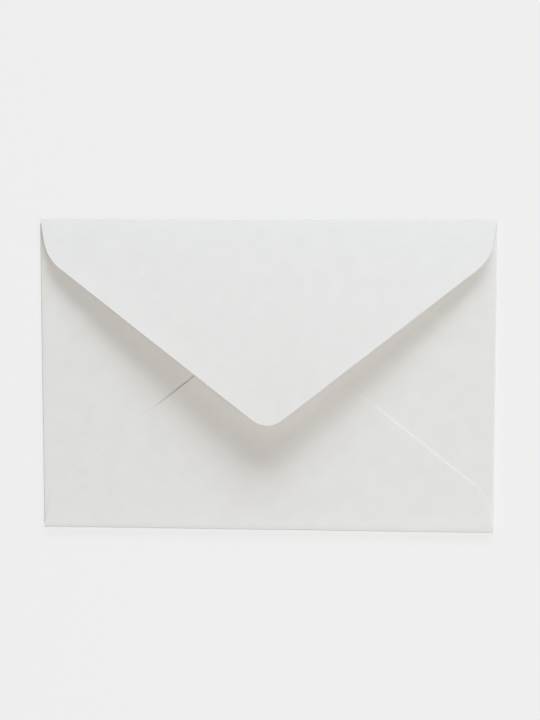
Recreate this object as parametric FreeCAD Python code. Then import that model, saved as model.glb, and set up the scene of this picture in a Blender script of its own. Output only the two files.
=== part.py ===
"""Paper envelope with a pointed flap, folded and gummed from one sheet, lying on its front.

The front panel lies flat on the table. Two side flaps fold in over it, the bottom flap folds up
over them and is gummed to them along its slanting edges, and the top flap folds down over all
three and stands a little open, as an unsealed flap does.

Frame: millimetres, X along the width, +Y towards the top fold, +Z up out of the back. The origin
is on the table, below the middle of the front panel.
"""

import FreeCAD
import Part
import math
import os

Vector = FreeCAD.Vector

# Finished size, from fold to fold
width = 160.0
height = 110.0

# The sheet, and how its layers lie on each other
sheet = 0.15            # thickness of 120 g/m2 wove paper
pocket_gap = 0.50       # clear space inside the pocket, front panel to side flaps
gum_film = 0.04         # dried gum between the side flaps and the bottom flap
flap_clearance = 0.15   # top flap over the side flaps, at the fold

# Top flap
top_flap_past_middle = 18.6   # its slanting edges would meet this far below the middle
top_flap_shoulder = 11.7      # fold to slanting edge, measured at the panel's side
hinge_lift = 9.0              # degrees that the flap rises where it leaves the fold
tip_lift = 4.0                # degrees that it still rises at its tip

# Bottom flap
bottom_flap_past_middle = 20.0
bottom_flap_shoulder = 12.0

# What the top and bottom flaps share
flap_end_inset = 0.15    # a fold stops this far short of the panel's side
flap_side_lean = 9.5     # degrees that a flap's short side edge leans inwards
shoulder_radius = 15.0
tip_radius = 8.5

# Side flaps, whose edges run parallel to those of the flaps that lap over them
side_fold_inset = 1.5    # a side fold stops this far short of each corner
side_tip_radius = 8.0

# Gummed seams
seam_inset = 1.0         # gum stays this far inside every cut edge
seam_width = 6.0

# Height of the middle of each layer above the table
front_level = sheet / 2
side_level = front_level + sheet + pocket_gap
bottom_level = side_level + sheet + gum_film
top_level = side_level + sheet + flap_clearance


def fold_radius(level):
    """Radius of the sheet's middle in the fold that lifts a flap to level."""
    return (level - front_level) / 2


def fold_reach(level):
    """How far that fold stands out past the flat panel."""
    return fold_radius(level) + sheet / 2


def rounding(before, corner, after, radius):
    """Start, middle and end of the arc that rounds a corner between two others."""
    back = (before - corner).normalize()
    ahead = (after - corner).normalize()
    half_angle = back.getAngle(ahead) / 2
    tangent = radius / math.tan(half_angle)
    depth = radius / math.sin(half_angle) - radius
    middle = corner + (back + ahead).normalize() * depth
    return corner + back * tangent, middle, corner + ahead * tangent


def rounded_face(corners):
    """Flat face through (x, y, radius) corners, each rounded to its radius."""
    points = [Vector(x, y, 0) for x, y, _ in corners]
    radii = [radius for _, _, radius in corners]
    arcs = []
    for i, radius in enumerate(radii):
        arcs.append(rounding(points[i - 1], points[i], points[(i + 1) % len(points)], radius))
    edges = []
    for i, (start, middle, end) in enumerate(arcs):
        edges.append(Part.makeLine(arcs[i - 1][2], start))
        if radii[i] > 0:
            edges.append(Part.Arc(start, middle, end).toShape())
    return Part.Face(Part.Wire(edges))


def prism(face, low, high):
    """Upright block over a flat face, from height low to height high."""
    base = face.copy()
    base.translate(Vector(0, 0, low))
    return base.extrude(Vector(0, 0, high - low))


def placed(shape, turned, at):
    """Copy of a shape turned about Z by so many degrees and then moved."""
    copy = shape.copy()
    copy.rotate(Vector(0, 0, 0), Vector(0, 0, 1), turned)
    copy.translate(at)
    return copy


def edge_slope(past_middle, shoulder):
    """Rise over run of a top or bottom flap's slanting edge."""
    return (height / 2 + past_middle - shoulder) / (width / 2)


def lapping_plan(past_middle, shoulder):
    """Outline of the top or bottom flap: x along its fold, y from the fold over the panel.

    It runs one sheet's thickness past the fold, so that it takes in the whole fold.
    """
    slope = edge_slope(past_middle, shoulder)
    lean = math.tan(math.radians(flap_side_lean))
    half_fold = width / 2 - flap_end_inset
    shoulder_y = (shoulder + flap_end_inset * slope) / (1 - slope * lean)
    shoulder_x = half_fold - shoulder_y * lean
    return rounded_face([
        (-half_fold - sheet * lean, -sheet, 0),
        (half_fold + sheet * lean, -sheet, 0),
        (shoulder_x, shoulder_y, shoulder_radius),
        (0, height / 2 + past_middle, tip_radius),
        (-shoulder_x, shoulder_y, shoulder_radius),
    ])


def side_plan(slope_left, slope_right):
    """Outline of a side flap: x along its fold, y from the fold over the panel.

    Each slope is that of the flap which laps over the edge at that end of the fold.
    """
    half_fold = height / 2 - side_fold_inset
    reach = 2 * half_fold / (slope_left + slope_right)
    return rounded_face([
        (-half_fold, -sheet, 0),
        (half_fold, -sheet, 0),
        (half_fold, 0, 0),
        (reach * slope_left - half_fold, reach, side_tip_radius),
        (-half_fold, 0, 0),
    ])


def along(heading):
    """Unit vector at so many degrees up from +y, in the plane of y and z."""
    angle = math.radians(heading)
    return Vector(0, math.cos(angle), math.sin(angle))


def inward(heading):
    """Unit vector square to a heading, towards the inside of the fold."""
    return along(heading - 90)


def bend(centre, radius, start, end):
    """Arc about a centre, from one heading to another."""
    headings = (start, (start + end) / 2, end)
    return Part.Arc(*[centre - inward(heading) * radius for heading in headings]).toShape()


def flap_line(level, length, hinge, tip, outward):
    """Fold and flap as two edges, at a distance outward from the sheet's middle.

    The sheet turns up off the flat panel and over in the fold, leaves it rising by hinge
    degrees, and bows from there until it rises by tip degrees.
    """
    radius = fold_radius(level)
    centre = Vector(0, fold_reach(level), front_level + radius)
    fold = bend(centre, radius + outward, 180, hinge)
    if hinge == tip:
        start = centre - inward(hinge) * (radius + outward)
        return [fold, Part.makeLine(start, start + along(hinge) * length)]
    bow = length / math.radians(hinge - tip)
    bow_centre = centre + inward(hinge) * (bow - radius)
    return [fold, bend(bow_centre, bow + outward, hinge, tip)]


def flap_section(level, length, hinge, tip):
    """Cut section of a fold and its flap, y from the fold over the panel and z up."""
    outer = flap_line(level, length, hinge, tip, sheet / 2)
    inner = flap_line(level, length, hinge, tip, -sheet / 2)
    root = Part.makeLine(inner[0].firstVertex().Point, outer[0].firstVertex().Point)
    end = Part.makeLine(outer[1].lastVertex().Point, inner[1].lastVertex().Point)
    return Part.Face(Part.Wire([root, outer[0], outer[1], end, inner[1], inner[0]]))


def folded_flap(plan, level, fold_length, hinge=0.0, tip=0.0):
    """A flap with its fold: the section along the fold, cut to the plan."""
    steepest = math.radians(max(hinge, tip))
    length = plan.BoundBox.YMax / math.cos(steepest)
    section = flap_section(level, length, hinge, tip)
    section.translate(Vector(-fold_length / 2, 0, 0))
    strip = section.extrude(Vector(fold_length, 0, 0))
    return strip.common(prism(plan, -sheet, strip.BoundBox.ZMax + sheet))


def front_panel():
    """The flat address side, up to where each fold begins.

    Past the ends of the side folds its corners stay flat, as far out as the other two folds.
    """
    low = fold_reach(bottom_level) - height / 2
    high = height / 2 - fold_reach(top_level)
    side_fold_end = height / 2 - side_fold_inset
    middle_half = width / 2 - fold_reach(side_level)
    corner_half = width / 2 - flap_end_inset
    panel = Part.makeBox(2 * middle_half, high - low, sheet, Vector(-middle_half, low, 0))
    corners = []
    for start, end in ((low, -side_fold_end), (side_fold_end, high)):
        corner = Vector(-corner_half, start, 0)
        corners.append(Part.makeBox(2 * corner_half, end - start, sheet, corner))
    return panel.fuse(corners)


def seam_gum(bottom, side):
    """Dried gum where the bottom flap laps over one side flap, as a layer between the two."""
    band = bottom.makeOffset2D(-seam_inset).cut(bottom.makeOffset2D(-seam_inset - seam_width))
    low = side_level + sheet / 2
    return prism(band.common(side.makeOffset2D(-seam_inset)), low, low + gum_film)


def envelope_sheet():
    """The whole envelope as the one folded and gummed sheet that it is."""
    top_slope = edge_slope(top_flap_past_middle, top_flap_shoulder)
    bottom_slope = edge_slope(bottom_flap_past_middle, bottom_flap_shoulder)
    top_plan = lapping_plan(top_flap_past_middle, top_flap_shoulder)
    bottom_plan = lapping_plan(bottom_flap_past_middle, bottom_flap_shoulder)
    right_plan = side_plan(bottom_slope, top_slope)
    left_plan = side_plan(top_slope, bottom_slope)
    at_top = (180, Vector(0, height / 2, 0))
    at_bottom = (0, Vector(0, -height / 2, 0))
    at_right = (90, Vector(width / 2, 0, 0))
    at_left = (-90, Vector(-width / 2, 0, 0))
    bottom_outline = placed(bottom_plan, *at_bottom)
    pieces = [
        placed(folded_flap(top_plan, top_level, width, hinge_lift, tip_lift), *at_top),
        placed(folded_flap(bottom_plan, bottom_level, width), *at_bottom),
        placed(folded_flap(right_plan, side_level, height), *at_right),
        placed(folded_flap(left_plan, side_level, height), *at_left),
        seam_gum(bottom_outline, placed(right_plan, *at_right)),
        seam_gum(bottom_outline, placed(left_plan, *at_left)),
    ]
    return front_panel().fuse(pieces).removeSplitter()


os.makedirs("parts", exist_ok=True)
envelope = envelope_sheet()
envelope.Solids[0].exportStep("parts/envelope_sheet.step")
print("solids", len(envelope.Solids), "valid", envelope.isValid())
print("volume mm3", round(envelope.Volume, 2), "box", envelope.BoundBox)
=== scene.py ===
"""Paper envelope: one die-cut blank of wove paper, folded by a Geometry Nodes tree.

Lengths are millimetres in the object's frame unless a name says otherwise; meshes, lamps and
the camera are turned to metres where they are made.
"""

import math

import bpy
import numpy as np
from mathutils import Matrix, Vector
from mathutils.geometry import delaunay_2d_cdt


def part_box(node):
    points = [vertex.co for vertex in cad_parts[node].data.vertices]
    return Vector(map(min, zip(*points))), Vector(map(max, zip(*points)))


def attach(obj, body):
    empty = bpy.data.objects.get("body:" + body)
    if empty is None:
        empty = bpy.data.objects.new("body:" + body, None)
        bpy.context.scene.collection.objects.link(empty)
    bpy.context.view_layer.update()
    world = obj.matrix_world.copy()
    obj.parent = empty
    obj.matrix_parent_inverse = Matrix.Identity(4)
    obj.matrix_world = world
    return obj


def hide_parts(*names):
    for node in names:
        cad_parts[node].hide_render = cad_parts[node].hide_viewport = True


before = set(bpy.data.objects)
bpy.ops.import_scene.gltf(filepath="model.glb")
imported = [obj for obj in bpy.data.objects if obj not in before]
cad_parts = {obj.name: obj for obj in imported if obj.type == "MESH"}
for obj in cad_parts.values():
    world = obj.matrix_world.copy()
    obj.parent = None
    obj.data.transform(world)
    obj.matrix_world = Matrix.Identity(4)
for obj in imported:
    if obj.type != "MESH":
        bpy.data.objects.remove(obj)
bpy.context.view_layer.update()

MM = 0.001

# Finished size, read from the frame
node_low, node_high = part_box("envelope_sheet")
width = (node_high[0] - node_low[0]) / MM
height = (node_high[1] - node_low[1]) / MM

# The sheet and how its layers lie, as in the part's source
sheet = 0.15
pocket_gap = 0.50
gum_film = 0.04
flap_clearance = 0.15

# Outlines of the flaps, as in the part's source
top_flap_past_middle = 18.6
top_flap_shoulder = 11.7
bottom_flap_past_middle = 20.0
bottom_flap_shoulder = 12.0
flap_end_inset = 0.15
flap_side_lean = 9.5
shoulder_radius = 15.0
tip_radius = 8.5
side_fold_inset = 1.5
side_tip_radius = 8.0
corner_notch = 0.15

# How the top flap stands, degrees: at its fold and at its tip
hinge_lift = 9.0
tip_lift = 4.0

# How the paper eases after folding
crease = 0.7              # folds turn over tightly: 1 is a round arc, 0 a square corner
fold_spring = 0.25        # the top flap springs up this much just past its fold
spring_reach = 5.0
tip_droop = 0.5           # the last of the top flap bends down a little
droop_start = 48.0
edge_curl = 0.28          # the cut edges of the top flap curl up
curl_reach = 6.0
curl_start = (4.0, 20.0)  # none at the fold, in full from here on
tip_drift = 0.7           # the top flap is folded a touch out of square
pocket_rise = 0.3         # the back of the pocket rises in its middle
fold_fullness = 0.4       # and stands fuller along the bottom fold, less along the sides
fullness_reach = 7.0
side_fullness = 0.15
throat_lift = 0.09        # the bottom flap's edge stands up near the pocket's mouth
throat_reach = 8.0
throat_depth = 0.25       # of the height: no part of that edge is nearer to the bottom fold
throat_left = (-42.0, -33.0)    # x where the gum ends and where the edge is free
throat_right = (27.0, 22.0)
seam_bevel = 0.5          # where it is gummed, its edge is pressed thin over this width
seam_thin = 0.88
seam_gum = 0.01           # gum left under the pressed edge
seam_fade = (78.0, 72.0)  # off the middle, where the press has ended and where it is full
free_top = (3.0, 25.0)    # past the fold, where the flap starts to cockle and where it is free
free_flaps = (3.0, 20.0)  # the same for the flaps that lie below the top one
under_top = 0.5           # how free they get
wave_height = 0.12
wave_length = 30.0
wave_seed = 3.0

# The surface of the paper
cloud_size = 6.0          # clouds where the fibres lie denser or thinner
felt_size = 0.55          # tufts of the felt; its single fibres, 0.03 wide, don't show
felt_depth = 0.004
nap_size = 0.16           # the finest that shows from a hand's breadth away
nap_depth = 0.0015
fold_shade_reach = 0.5        # from the outermost line of a top or bottom fold, how far its painted shade and rougher fibres reach
plain_roughness = (0.82, 0.90)
broken_roughness = 0.08   # what broken fibres add
paper_specular = 0.3

# Fineness of the mesh
grid = 2.0
bend_rows = 9             # across a fold; with 10, one would graze the side flaps' corners
arc_step = 6.0
seam_rows = (0.22, 0.5, 0.95)
seam_from_fold = 4.0      # past the bottom fold, where the rows along the seam begin
clear_of_lines = 0.55     # of the grid: how far its points keep from every line
same_point = 1e-5         # points nearer than this are one
sharp_angle = 50.0        # degrees: the cut edges stay sharp and the folds look round
within_edges = 1          # the triangulation's mode that keeps to the blank's outline

# Colours of the paper, among them a painted highlight for the seams and painted shade for the top
# and bottom folds
thin_cloud = "#EEEDEA"
dense_cloud = "#F1F0ED"
# Painted highlight: a whiter colour along the gummed seams stands for the light their pressed edges
# catch
painted_seam_highlight = "#FBFAF8"
# Painted shade: a greyer colour on the outermost line of the top and bottom folds
painted_fold_shade = "#D8D6D2"
# How far the colour along the gummed seams goes towards the painted highlight
seam_highlight_share = 0.5

# Background and light. Each lamp's share is the part of the light that falls on the table, and
# its distance and size are in metres.
background = "#F0F0F0"
floor_dark = "#F9F9F9"
floor_light = "#FBFBFB"
floor_grain = 3.0
floor_glow = 0.82
floor_half_metres = 2.0
floor_drop = 0.05
key = {"share": 0.33, "azimuth": 9.0, "elevation": 20.0, "metres": 2.0, "size": (1.5, 0.65),
       "colour": (0.90, 1.0, 1.08)}
fill = {"share": 0.385, "azimuth": 146.0, "elevation": 38.0, "metres": 1.5, "size": (1.8, 1.4),
        "colour": (1.0, 1.0, 1.03)}
top = {"share": 0.32, "azimuth": 180.0, "elevation": 75.0, "metres": 1.5, "size": (1.5, 1.5),
       "colour": (1.10, 1.0, 0.88)}
sky_share = 0.04
sky_colour = (1.0, 1.0, 1.0)

# Camera
lens = 90.0
sensor = 36.0
camera_at = Vector((44.70, 78.42, 628.25))
camera_aim = Vector((1.05, 5.68, 0.0))

# Height of the middle of each layer above the table
front_level = sheet / 2
side_level = front_level + sheet + pocket_gap
bottom_level = side_level + sheet + gum_film
top_level = side_level + sheet + flap_clearance


def fold_radius(level):
    """Radius of the sheet's middle in the fold that lifts a flap to level."""
    return (level - front_level) / 2


def fold_reach(level):
    """How far that fold stands out past the flat panel."""
    return fold_radius(level) + sheet / 2


def fold_length(level, hinge=0.0):
    """Length of sheet that the fold takes up, from flat panel to flap."""
    return fold_radius(level) * math.radians(180 - hinge)


# Where the folds start and end on the flat blank
side_start = width / 2 - fold_reach(side_level)
side_end = height / 2 - side_fold_inset
top_start = height / 2 - fold_reach(top_level)
bottom_start = height / 2 - fold_reach(bottom_level)
corner_x = width / 2 - flap_end_inset


def rounded(corners):
    """Polyline through (x, y, radius) corners, each rounded to its radius."""
    line = []
    for i, (x, y, radius) in enumerate(corners):
        here = Vector((x, y))
        if radius == 0:
            line.append(here)
            continue
        back = (Vector(corners[i - 1][:2]) - here).normalized()
        ahead = (Vector(corners[i + 1][:2]) - here).normalized()
        half_angle = back.angle(ahead) / 2
        centre = here + (back + ahead).normalized() * (radius / math.sin(half_angle))
        start = here + back * (radius / math.tan(half_angle)) - centre
        turn = math.copysign(math.pi - 2 * half_angle, ahead.cross(back))
        steps = round(math.degrees(abs(turn)) / arc_step)
        line += [centre + Matrix.Rotation(turn * k / steps, 2) @ start for k in range(steps + 1)]
    return line


def edge_slope(past_middle, shoulder):
    """Rise over run of a top or bottom flap's slanting edge."""
    return (height / 2 + past_middle - shoulder) / (width / 2)


def lapping_plan(past_middle, shoulder):
    """Edge of the top or bottom flap in plan: x along its fold, y from the fold over the panel."""
    slope = edge_slope(past_middle, shoulder)
    lean = math.tan(math.radians(flap_side_lean))
    shoulder_y = (shoulder + flap_end_inset * slope) / (1 - slope * lean)
    shoulder_x = corner_x - shoulder_y * lean
    return rounded([
        (corner_x, 0, 0),
        (shoulder_x, shoulder_y, shoulder_radius),
        (0, height / 2 + past_middle, tip_radius),
        (-shoulder_x, shoulder_y, shoulder_radius),
        (-corner_x, 0, 0),
    ])


def side_plan():
    """Edge of a side flap in plan: x along its fold from bottom to top, y from the fold."""
    top_slope = edge_slope(top_flap_past_middle, top_flap_shoulder)
    bottom_slope = edge_slope(bottom_flap_past_middle, bottom_flap_shoulder)
    reach = 2 * side_end / (top_slope + bottom_slope)
    return rounded([
        (side_end, 0, 0),
        (reach * bottom_slope - side_end, reach, side_tip_radius),
        (-side_end, 0, 0),
    ])


def unfolded(plan, level, lifts=(0.0, 0.0)):
    """A flap's edge on the flat blank: y becomes the distance past the start of the fold."""
    length = fold_length(level, lifts[0])
    stretch = 1 / math.cos(math.radians(sum(lifts) / 2))
    return [Vector((p.x, length + (p.y - fold_reach(level)) * stretch)) for p in plan]


def top_edge():
    """Cut edge of the top flap on the blank, from its fold's right end to its left end."""
    plan = lapping_plan(top_flap_past_middle, top_flap_shoulder)
    lifted = unfolded(plan, top_level, (hinge_lift, tip_lift))
    return [Vector((p.x, top_start + p.y)) for p in lifted]


def bottom_edge():
    """Cut edge of the bottom flap on the blank, from its fold's left end to its right end."""
    plan = unfolded(lapping_plan(bottom_flap_past_middle, bottom_flap_shoulder), bottom_level)
    return [Vector((-p.x, -bottom_start - p.y)) for p in plan]


def left_edge():
    """Cut edge of the left flap on the blank, from its fold's top end to its bottom end.

    A slit, one notch wide, parts it from the flat corners that carry the other two folds.
    """
    notch = side_end + corner_notch
    flap = [Vector((-side_start - p.y, p.x)) for p in unfolded(side_plan(), side_level)]
    top = [Vector((-corner_x, notch)), Vector((-side_start, notch)), Vector((-side_start, side_end))]
    bottom = [Vector((p.x, -p.y)) for p in reversed(top)]
    return top + flap + bottom


def blank_outline():
    """The die-cut edge of the whole blank, counter-clockwise from the top fold's right end."""
    left = left_edge()
    right = [Vector((-p.x, p.y)) for p in reversed(left)]
    return top_edge() + left + bottom_edge() + right


def divided(line, step, closed=False):
    """The polyline with points added so that none of its pieces is longer than step."""
    points = []
    ends = line[1:] + line[:1] if closed else line[1:]
    for start, end in zip(line, ends):
        count = max(1, math.ceil((end - start).length / step))
        points += [start.lerp(end, k / count) for k in range(count)]
    return points if closed else points + [line[-1]]


def bend_lines():
    """Rows across each fold, so that the mesh can turn smoothly there."""
    rows = []
    for k in range(bend_rows + 1):
        share = k / bend_rows
        top_y = top_start + share * fold_length(top_level, hinge_lift)
        bottom_y = -bottom_start - share * fold_length(bottom_level)
        side_x = side_start + share * fold_length(side_level)
        rows.append([Vector((-corner_x, top_y)), Vector((corner_x, top_y))])
        rows.append([Vector((-corner_x, bottom_y)), Vector((corner_x, bottom_y))])
        rows.append([Vector((side_x, -side_end)), Vector((side_x, side_end))])
        rows.append([Vector((-side_x, -side_end)), Vector((-side_x, side_end))])
    return rows


def seam_lines():
    """Rows just inside the bottom flap's cut edge, where it is pressed thin."""
    edge = [p for p in divided(bottom_edge(), grid) if p.y < -bottom_start - seam_from_fold]
    rows = []
    for inset in seam_rows:
        row = []
        for behind, here, ahead in zip(edge, edge[1:], edge[2:]):
            way = (ahead - behind).normalized()
            row.append(here + Vector((-way.y, way.x)) * inset)
        rows.append(row)
    return rows


def inside(points, outline):
    """Which of the points lie inside the closed outline."""
    x, y = points.T
    found = np.zeros(len(points), bool)
    for start, end in zip(outline, outline[1:] + outline[:1]):
        if start.y == end.y:
            continue
        crosses = (start.y > y) != (end.y > y)
        at = start.x + (y - start.y) * (end.x - start.x) / (end.y - start.y)
        found ^= crosses & (x < at)
    return found


def line_distance(points, line):
    """Distance of each point from a polyline."""
    nearest = np.full(len(points), np.inf)
    for start, end in zip(line, line[1:]):
        start, along = np.array(start), np.array(end - start)
        share = np.clip((points - start) @ along / max(along @ along, 1e-12), 0, 1)
        gap = points - start - share[:, None] * along
        nearest = np.minimum(nearest, np.hypot(*gap.T))
    return nearest


def triangulated_blank():
    """Points and triangles of the flat blank."""
    edge = blank_outline()
    outline = divided(edge, grid, closed=True)
    rows = [divided(row, grid) for row in bend_lines()] + seam_lines()
    points = list(outline)
    edges = [(k, (k + 1) % len(outline)) for k in range(len(outline))]
    for row in rows:
        edges += [(len(points) + k, len(points) + k + 1) for k in range(len(row) - 1)]
        points += row
    row_gap = grid * math.sin(math.radians(60))
    half_field = 1.5 * height
    field = np.array([
        (x + (k % 2) * grid / 2, y)
        for k, y in enumerate(np.arange(-half_field, half_field, row_gap))
        for x in np.arange(-width, width, grid)])
    field = field[inside(field, edge)]
    for line in [edge + edge[:1], *bend_lines(), *seam_lines()]:
        field = field[line_distance(field, line) > grid * clear_of_lines]
    points += [Vector(p) for p in field]
    corners, _, triangles = delaunay_2d_cdt(points, edges, [], within_edges, same_point)[:3]
    return np.array([tuple(p) for p in corners]), np.array(triangles)


def smooth(value, low, high):
    """0 at low and 1 at high, easing in and out between."""
    share = np.clip((value - low) / (high - low), 0, 1)
    return share * share * (3 - 2 * share)


def climb(past, level):
    """How far a sheet has climbed in its fold, from 0 on the panel to 1 at the flap."""
    angle = np.clip(past / fold_radius(level), 0, math.pi)
    return (1 - np.cos(angle)) / 2


def pocket_lift(x, y):
    """Rise of the pocket's back at a place in plan."""
    middle = (1 - (2 * x / width) ** 2) * (1 - (2 * y / height) ** 2)
    bottom = np.exp(-(y + height / 2) / fullness_reach)
    sides = np.exp((np.abs(x) - width / 2) / fullness_reach) * smooth(y, height / 2, 0)
    return pocket_rise * middle + fold_fullness * bottom + side_fullness * sides


def side_ease(points):
    """Lift of the side flaps."""
    x, y = points.T
    past = np.where(np.abs(y) < side_end + corner_notch / 2, np.abs(x) - side_start, 0)
    plan_x = width / 2 - np.abs(past - fold_length(side_level))
    return climb(past, side_level) * pocket_lift(plan_x, y)


def throat_share(points):
    """1 along the middle of the bottom flap, where its edge is free, and 0 where it is gummed."""
    return smooth(points[:, 0], *throat_left) * smooth(points[:, 0], *throat_right)


def seam_share(points):
    """How much of the press of the gummed seam each point has, from 0 to 1."""
    pressed = smooth(line_distance(points, bottom_edge()), seam_bevel, 0)
    return pressed * (1 - throat_share(points)) * smooth(np.abs(points[:, 0]), *seam_fade)


def bottom_ease(points):
    """Lift of the bottom flap."""
    x, y = points.T
    past = -y - bottom_start
    plan_y = np.abs(past - fold_length(bottom_level)) - height / 2
    lift = climb(past, bottom_level) * pocket_lift(x, plan_y)
    near_edge = smooth(line_distance(points, bottom_edge()), throat_reach, 0)
    lift += throat_lift * near_edge * throat_share(points) * (past > throat_depth * height)
    press = bottom_level - side_level - sheet / 2 - seam_thin * sheet / 2 - seam_gum
    return lift - press * seam_share(points)


def top_ease(points):
    """Lift of the top flap."""
    past = points[:, 1] - top_start - fold_length(top_level, hinge_lift)
    on_flap = past > 0
    past = np.maximum(past, 0)
    spring = fold_spring * (1 - np.exp(-past / spring_reach))
    flap_run = height / 2 + top_flap_past_middle
    droop = tip_droop * np.maximum((past - droop_start) / (flap_run - droop_start), 0) ** 2
    curl = np.exp(-line_distance(points, top_edge()) / curl_reach) * smooth(past, *curl_start)
    return on_flap * (spring - droop + edge_curl * curl)


def creased(past, level, hinge=0.0):
    """How far out and up a fold's tight upper half stands past a round arc."""
    radius = fold_radius(level)
    angle = np.clip(past / radius, math.pi / 2, math.radians(180 - hinge))
    out, up = np.sin(angle), np.clip(-np.cos(angle), 0, 1)
    return radius * (out ** crease - out), radius * (up ** crease - up)


def eased(points):
    """Where each point of the blank moves once the envelope is folded."""
    x, y = points.T
    past_side = np.where(np.abs(y) < side_end + corner_notch / 2, np.abs(x) - side_start, 0)
    side_out, side_up = creased(past_side, side_level)
    top_out, top_up = creased(y - top_start, top_level, hinge_lift)
    bottom_out, bottom_up = creased(-y - bottom_start, bottom_level)
    drift = tip_drift * np.maximum(y - top_start, 0) / (height / 2 + top_flap_past_middle)
    lift = side_ease(points) + bottom_ease(points) + top_ease(points)
    return np.column_stack([
        drift + np.sign(x) * side_out, top_out - bottom_out, lift + side_up + top_up + bottom_up])


def freedom(points):
    """How far each point of the blank is free to cockle: not at all on the front panel."""
    x, y = points.T
    past_top = smooth(y - top_start, *free_top)
    past_bottom = smooth(-y - bottom_start, *free_flaps)
    past_side = smooth(np.abs(x) - side_start, *free_flaps)
    return np.maximum(past_top, under_top * np.maximum(past_bottom, past_side))


def new_object(name, data):
    """An object at the origin that holds a mesh, lamp or camera."""
    obj = bpy.data.objects.new(name, data)
    bpy.context.collection.objects.link(obj)
    return obj


def flat_blank():
    """The flat blank as an object, with what the folding needs kept on its points."""
    points, triangles = triangulated_blank()
    mesh = bpy.data.meshes.new("blank")
    mesh.from_pydata((np.c_[points, np.zeros(len(points))] * MM).tolist(), [], triangles.tolist())
    ease = mesh.attributes.new("ease", "FLOAT_VECTOR", "POINT")
    ease.data.foreach_set("vector", (eased(points) * MM).ravel())
    # The pressed share also sets where the paper's colour gets its painted seam highlight
    pressing = seam_share(points)
    for name, values in (("free", freedom(points)), ("pressed", pressing)):
        attribute = mesh.attributes.new(name, "FLOAT", "POINT")
        attribute.data.foreach_set("value", values)
    blank = new_object("blank", mesh)
    group = blank.vertex_groups.new(name="thickness")
    weights = 1 - (1 - seam_thin) * pressing
    for k, weight in enumerate(weights):
        group.add([k], weight, "REPLACE")
    return blank


def add(tree, kind, *inputs, named=None, **settings):
    """Adds a node, such as "ShaderNodeMath SINE", and gives its first output in use.

    Each input is a value or the output of another node.
    """
    kind, *operation = kind.split()
    node = tree.nodes.new(kind)
    if operation:
        node.operation = operation[0]
    for name, value in settings.items():
        setattr(node, name, value)
    sockets = [socket for socket in node.inputs if socket.enabled]
    given = [*zip(sockets, inputs)] + [(node.inputs[key], named[key]) for key in named or ()]
    for socket, value in given:
        if isinstance(value, bpy.types.NodeSocket):
            tree.links.new(value, socket)
        else:
            socket.default_value = value
    return next((socket for socket in node.outputs if socket.enabled), None)


MATH = "ShaderNodeMath "
VECTOR = "ShaderNodeVectorMath "


def new_node_group(name, inputs):
    """A Geometry Nodes tree with sockets, and what comes into it."""
    tree = bpy.data.node_groups.new(name, "GeometryNodeTree")
    tree.interface.new_socket("Geometry", in_out="OUTPUT", socket_type="NodeSocketGeometry")
    tree.interface.new_socket("Geometry", in_out="INPUT", socket_type="NodeSocketGeometry")
    for title, kind in inputs.items():
        tree.interface.new_socket(title, in_out="INPUT", socket_type="NodeSocket" + kind)
    return tree, add(tree, "NodeGroupInput").node.outputs


def fold_group():
    """Node group that folds what lies past a line over towards the panel.

    The sheet turns in an arc of the given radius until it rises by the hinge angle, then runs
    on with the given bow, in radians per metre.
    """
    tree, given = new_node_group("Fold one flap", {
        "Outward": "Vector", "Start": "Float", "Half length": "Float", "Radius": "Float",
        "Hinge": "Float", "Bow": "Float"})
    place = add(tree, "GeometryNodeInputPosition")
    along = add(tree, VECTOR + "CROSS_PRODUCT", (0.0, 0.0, 1.0), given["Outward"])
    from_middle = add(tree, VECTOR + "DOT_PRODUCT", place, given["Outward"]).node.outputs["Value"]
    sideways = add(tree, VECTOR + "DOT_PRODUCT", place, along).node.outputs["Value"]
    past = add(tree, MATH + "SUBTRACT", from_middle, given["Start"])
    off_side = add(tree, MATH + "ABSOLUTE", sideways)
    within = add(tree, MATH + "LESS_THAN", off_side, given["Half length"])
    beyond = add(tree, MATH + "GREATER_THAN", past, 0.0)
    chosen = add(tree, MATH + "MULTIPLY", beyond, within)

    turn = add(tree, MATH + "SUBTRACT", math.pi, given["Hinge"])
    arc = add(tree, MATH + "MULTIPLY", given["Radius"], turn)
    on_arc = add(tree, MATH + "MINIMUM", past, arc)
    angle = add(tree, MATH + "DIVIDE", on_arc, given["Radius"])
    arc_out = add(tree, MATH + "MULTIPLY", given["Radius"], add(tree, MATH + "SINE", angle))
    fall = add(tree, MATH + "SUBTRACT", 1.0, add(tree, MATH + "COSINE", angle))

    run = add(tree, MATH + "SUBTRACT", past, on_arc)
    half_bow = add(tree, MATH + "MULTIPLY", add(tree, MATH + "MULTIPLY", run, given["Bow"]), 0.5)
    heading = add(tree, MATH + "SUBTRACT", given["Hinge"], half_bow)
    run_back = add(tree, MATH + "MULTIPLY", run, add(tree, MATH + "COSINE", heading))
    run_up = add(tree, MATH + "MULTIPLY", run, add(tree, MATH + "SINE", heading))

    out = add(tree, MATH + "SUBTRACT", add(tree, MATH + "SUBTRACT", arc_out, run_back), past)
    up = add(tree, MATH + "MULTIPLY_ADD", given["Radius"], fall, run_up)
    rise = add(tree, "ShaderNodeCombineXYZ", 0.0, 0.0, up)
    moved = add(tree, VECTOR + "MULTIPLY_ADD", given["Outward"], out, rise)
    folded = add(tree, "GeometryNodeSetPosition", named={
        "Geometry": given["Geometry"], "Selection": chosen, "Offset": moved})
    add(tree, "NodeGroupOutput", folded)
    return tree


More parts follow.
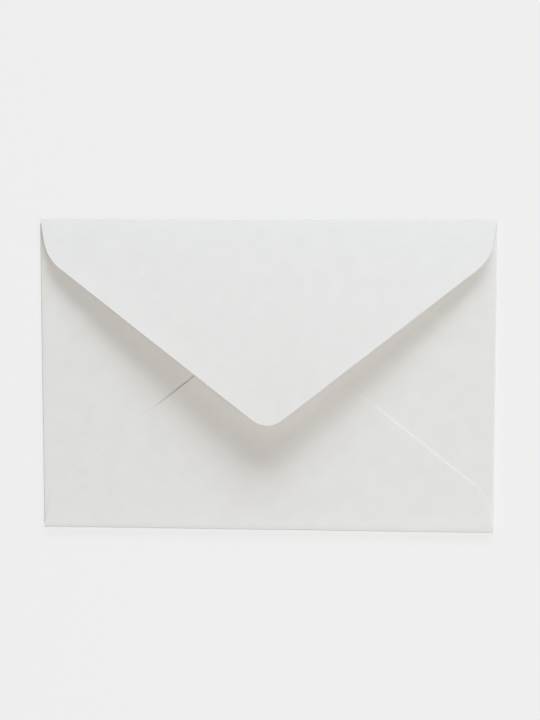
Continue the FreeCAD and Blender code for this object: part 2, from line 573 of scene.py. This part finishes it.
def envelope_tree(material):
    """The tree that folds the blank flap by flap, then lets the paper ease and cockle."""
    tree, given = new_node_group("Fold the envelope", {
        "Side start": "Float", "Side half length": "Float", "Side radius": "Float",
        "Bottom start": "Float", "Bottom radius": "Float", "Top start": "Float",
        "Top radius": "Float", "Top hinge": "Float", "Top bow": "Float",
        "Front level": "Float", "Wave height": "Float", "Wave scale": "Float", "Seed": "Float"})
    fold = fold_group()
    folds = (
        ((1.0, 0.0, 0.0), "Side", given["Side half length"], 0.0, 0.0),
        ((-1.0, 0.0, 0.0), "Side", given["Side half length"], 0.0, 0.0),
        ((0.0, -1.0, 0.0), "Bottom", 1.0, 0.0, 0.0),
        ((0.0, 1.0, 0.0), "Top", 1.0, given["Top hinge"], given["Top bow"]),
    )
    geometry = given["Geometry"]
    for outward, flap, half_length, hinge, bow in folds:
        geometry = add(tree, "GeometryNodeGroup", node_tree=fold, named={
            "Geometry": geometry, "Outward": outward, "Start": given[flap + " start"],
            "Half length": half_length, "Radius": given[flap + " radius"],
            "Hinge": hinge, "Bow": bow})
    ease = add(tree, "GeometryNodeInputNamedAttribute", "ease", data_type="FLOAT_VECTOR")
    free = add(tree, "GeometryNodeInputNamedAttribute", "free", data_type="FLOAT")
    noise = add(tree, "ShaderNodeTexNoise", noise_dimensions="4D", named={
        "W": given["Seed"], "Scale": given["Wave scale"], "Detail": 1.0})
    wave = add(tree, MATH + "MULTIPLY", add(tree, MATH + "SUBTRACT", noise, 0.5), free)
    up = add(tree, MATH + "MULTIPLY_ADD", wave, given["Wave height"], given["Front level"])
    moved = add(tree, VECTOR + "ADD", ease, add(tree, "ShaderNodeCombineXYZ", 0.0, 0.0, up))
    laid = add(tree, "GeometryNodeSetPosition", named={"Geometry": geometry, "Offset": moved})
    real = add(tree, "GeometryNodeRealizeInstances", laid)
    painted = add(tree, "GeometryNodeSetMaterial", named={"Geometry": real, "Material": material})
    add(tree, "NodeGroupOutput", painted)
    return tree


def set_inputs(modifier, values):
    """Sets a Geometry Nodes modifier's inputs by their names in the tree."""
    for item in modifier.node_group.interface.items_tree:
        if item.in_out == "INPUT" and item.name in values:
            modifier[item.identifier] = values[item.name]


def baked(obj, name):
    """A plain-mesh copy of an object with its modifiers applied; the object goes."""
    evaluated = obj.evaluated_get(bpy.context.evaluated_depsgraph_get())
    mesh = bpy.data.meshes.new_from_object(evaluated)
    mesh.name = name
    bpy.data.objects.remove(obj)
    return new_object(name, mesh)


def folded_envelope(material):
    """The envelope as one closed sheet of paper."""
    blank = flat_blank()
    fold = blank.modifiers.new("fold", "NODES")
    fold.node_group = envelope_tree(material)
    flap_run = height / 2 + top_flap_past_middle
    set_inputs(fold, {
        "Side start": side_start * MM,
        "Side half length": (side_end + corner_notch / 2) * MM,
        "Side radius": fold_radius(side_level) * MM,
        "Bottom start": bottom_start * MM,
        "Bottom radius": fold_radius(bottom_level) * MM,
        "Top start": top_start * MM,
        "Top radius": fold_radius(top_level) * MM,
        "Top hinge": math.radians(hinge_lift),
        "Top bow": math.radians(hinge_lift - tip_lift) / (flap_run * MM),
        "Front level": front_level * MM,
        "Wave height": wave_height * MM,
        "Wave scale": 1 / (wave_length * MM),
        "Seed": wave_seed,
    })
    thick = blank.modifiers.new("thickness", "SOLIDIFY")
    thick.thickness = sheet * MM
    thick.offset = 0
    thick.use_even_offset = True
    thick.vertex_group = "thickness"
    envelope = baked(blank, "envelope")
    for name in ("ease", "free"):
        envelope.data.attributes.remove(envelope.data.attributes[name])
    envelope.data.shade_smooth()
    envelope.data.set_sharp_from_angle(angle=math.radians(sharp_angle))
    return envelope


def linear(colour):
    """Linear RGBA of an sRGB hex colour."""
    parts = [int(colour[k:k + 2], 16) / 255 for k in (1, 3, 5)]
    return [p / 12.92 if p <= 0.04045 else ((p + 0.055) / 1.055) ** 2.4 for p in parts] + [1.0]


def new_material(name):
    """A node material, its tree and its Principled shader."""
    material = bpy.data.materials.new(name)
    material.use_nodes = True
    return material, material.node_tree, material.node_tree.nodes["Principled BSDF"]


def fold_nearness(tree, place):
    """1 on the outermost line of the top or bottom fold, 0 where its painted shade and rougher
    fibres end.
    """
    y = add(tree, "ShaderNodeSeparateXYZ", place).node.outputs["Y"]
    return add(tree, "ShaderNodeMapRange", add(tree, MATH + "ABSOLUTE", y),
               (height / 2 - fold_shade_reach) * MM, height / 2 * MM, 0.0, 1.0)


def wove_paper():
    """Uncoated white wove paper, 120 g/m2.

    It is laid down wet as a felt of wood fibres on a plainly woven wire, dried, and left without
    coating or polish. The eye gets a dull and even white with clouds so faint that they only
    just show and a soft felted surface. The colour has a painted highlight along the gummed
    seams and painted shade on the outermost line of the top and bottom folds, and both of
    these lines are rougher.
    """
    material, tree, shader = new_material("wove_paper")
    place = add(tree, "ShaderNodeTexCoord").node.outputs["Object"]
    clouds = add(tree, "ShaderNodeTexNoise", place, named={
        "Scale": 1 / (cloud_size * MM), "Detail": 4.0, "Roughness": 0.6})
    felt = add(tree, "ShaderNodeTexNoise", place, named={
        "Scale": 1 / (felt_size * MM), "Detail": 2.0, "Roughness": 0.55, "Distortion": 1.2})
    nap = add(tree, "ShaderNodeTexNoise", place, named={
        "Scale": 1 / (nap_size * MM), "Detail": 2.0, "Roughness": 0.7, "Distortion": 0.6})

    pressed = add(tree, "ShaderNodeAttribute", attribute_name="pressed").node.outputs["Fac"]
    frayed = add(tree, "ShaderNodeMapRange", felt, 0.35, 0.65, 0.75, 1.0)
    # Painted shade on the outermost line of the top and bottom folds, which are also rougher there
    fold_shade_and_rub = add(tree, MATH + "MULTIPLY", fold_nearness(tree, place), frayed)
    broken = add(tree, MATH + "MAXIMUM", fold_shade_and_rub, pressed)
    # Painted highlight: the colour is whitened along the gummed seams
    seam_highlight_amount = add(tree, MATH + "MULTIPLY", pressed, seam_highlight_share)

    cloudy = add(tree, "ShaderNodeMapRange", clouds, 0.3, 0.7, 0.0, 1.0)
    body = add(tree, "ShaderNodeMix", cloudy, linear(thin_cloud), linear(dense_cloud),
               data_type="RGBA")
    seam_highlighted = add(tree, "ShaderNodeMix", seam_highlight_amount, body, linear(painted_seam_highlight), data_type="RGBA")
    colour = add(tree, "ShaderNodeMix", fold_shade_and_rub, seam_highlighted, linear(painted_fold_shade), data_type="RGBA")
    tree.links.new(colour, shader.inputs["Base Color"])

    plain = add(tree, "ShaderNodeMapRange", felt, 0.3, 0.7, *plain_roughness)
    rough = add(tree, MATH + "MULTIPLY_ADD", broken, broken_roughness, plain)
    tree.links.new(rough, shader.inputs["Roughness"])
    shader.inputs["Specular IOR Level"].default_value = paper_specular

    tufts = add(tree, "ShaderNodeBump", named={
        "Strength": 1.0, "Distance": felt_depth * MM, "Height": felt})
    surface = add(tree, "ShaderNodeBump", named={
        "Strength": 1.0, "Distance": nap_depth * MM, "Height": nap, "Normal": tufts})
    tree.links.new(surface, shader.inputs["Normal"])
    return material


def floor_material():
    """Pale matt board. Part of what the camera sees of it is an even glow of the same colour."""
    material, tree, shader = new_material("floor_board")
    place = add(tree, "ShaderNodeTexCoord").node.outputs["Object"]
    grain = add(tree, "ShaderNodeTexNoise", place, named={
        "Scale": 1 / (floor_grain * MM), "Detail": 3.0})
    colour = add(tree, "ShaderNodeMix", grain, linear(floor_dark), linear(floor_light),
                 data_type="RGBA")
    tree.links.new(colour, shader.inputs["Base Color"])
    shader.inputs["Roughness"].default_value = 1.0
    shader.inputs["Specular IOR Level"].default_value = 0.0
    even = add(tree, "ShaderNodeEmission", linear(background), 1.0)
    rays = add(tree, "ShaderNodeLightPath").node.outputs
    mirrored = add(tree, MATH + "MAXIMUM", rays["Is Glossy Ray"], rays["Is Transmission Ray"])
    seen = add(tree, MATH + "MAXIMUM", rays["Is Camera Ray"], mirrored)
    share = add(tree, MATH + "MULTIPLY", seen, floor_glow)
    mixed = add(tree, "ShaderNodeMixShader", share, shader.outputs[0], even)
    tree.links.new(mixed, tree.nodes["Material Output"].inputs["Surface"])
    return material


def make_floor():
    """A large pale board just under the envelope."""
    corners = [(-1, -1), (1, -1), (1, 1), (-1, 1)]
    mesh = bpy.data.meshes.new("floor")
    mesh.from_pydata([(x * floor_half_metres, y * floor_half_metres, -floor_drop * MM)
                      for x, y in corners], [], [(0, 1, 2, 3)])
    mesh.materials.append(floor_material())
    new_object("floor", mesh)


def aimed(at, target):
    """Rotation of a lamp or camera at one point that looks at another, with +Y upright."""
    back = (at - target).normalized()
    right = Vector((0, 1, 0)).cross(back).normalized()
    return Matrix((right, back.cross(right), back)).transposed().to_euler()


def softbox(name, share, azimuth, elevation, metres, size, colour):
    """Area lamp at an azimuth from +Y towards +X, that gives its share of the light."""
    lamp = bpy.data.lights.new(name, "AREA")
    azimuth, elevation = math.radians(azimuth), math.radians(elevation)
    lamp.shape = "RECTANGLE"
    lamp.size, lamp.size_y = size
    lamp.energy = share * (math.pi * metres) ** 2 / math.sin(elevation)
    lamp.color = colour
    obj = new_object(name, lamp)
    flat = Vector((math.sin(azimuth), math.cos(azimuth), 0)) * math.cos(elevation)
    way = flat + Vector((0, 0, math.sin(elevation)))
    right = Vector((0, 0, 1)).cross(way).normalized()
    obj.rotation_euler = Matrix((right, way.cross(right), way)).transposed().to_euler()
    obj.location = way * metres


def make_world():
    """Even light from all round, and the background for what the camera sees past the floor."""
    world = bpy.data.worlds.new("studio")
    bpy.context.scene.world = world
    world.use_nodes = True
    tree = world.node_tree
    tree.nodes.clear()
    sky = add(tree, "ShaderNodeBackground", [*sky_colour, 1.0], sky_share)
    seen = add(tree, "ShaderNodeBackground", linear(background), 1.0)
    is_camera = add(tree, "ShaderNodeLightPath").node.outputs["Is Camera Ray"]
    add(tree, "ShaderNodeOutputWorld", add(tree, "ShaderNodeMixShader", is_camera, sky, seen))


def make_camera():
    """The photograph's view, from above the top right."""
    data = bpy.data.cameras.new("camera")
    data.lens = lens
    data.sensor_fit = "VERTICAL"
    data.sensor_height = sensor
    data.clip_end = 20.0
    camera = new_object("camera", data)
    camera.location = camera_at * MM
    camera.rotation_euler = aimed(camera_at, camera_aim)
    bpy.context.scene.camera = camera


bpy.context.scene.view_settings.view_transform = "Standard"
envelope = folded_envelope(wove_paper())
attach(envelope, "root")
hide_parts("envelope_sheet")
make_floor()
softbox("key", **key)
softbox("fill", **fill)
softbox("top", **top)
make_world()
make_camera()
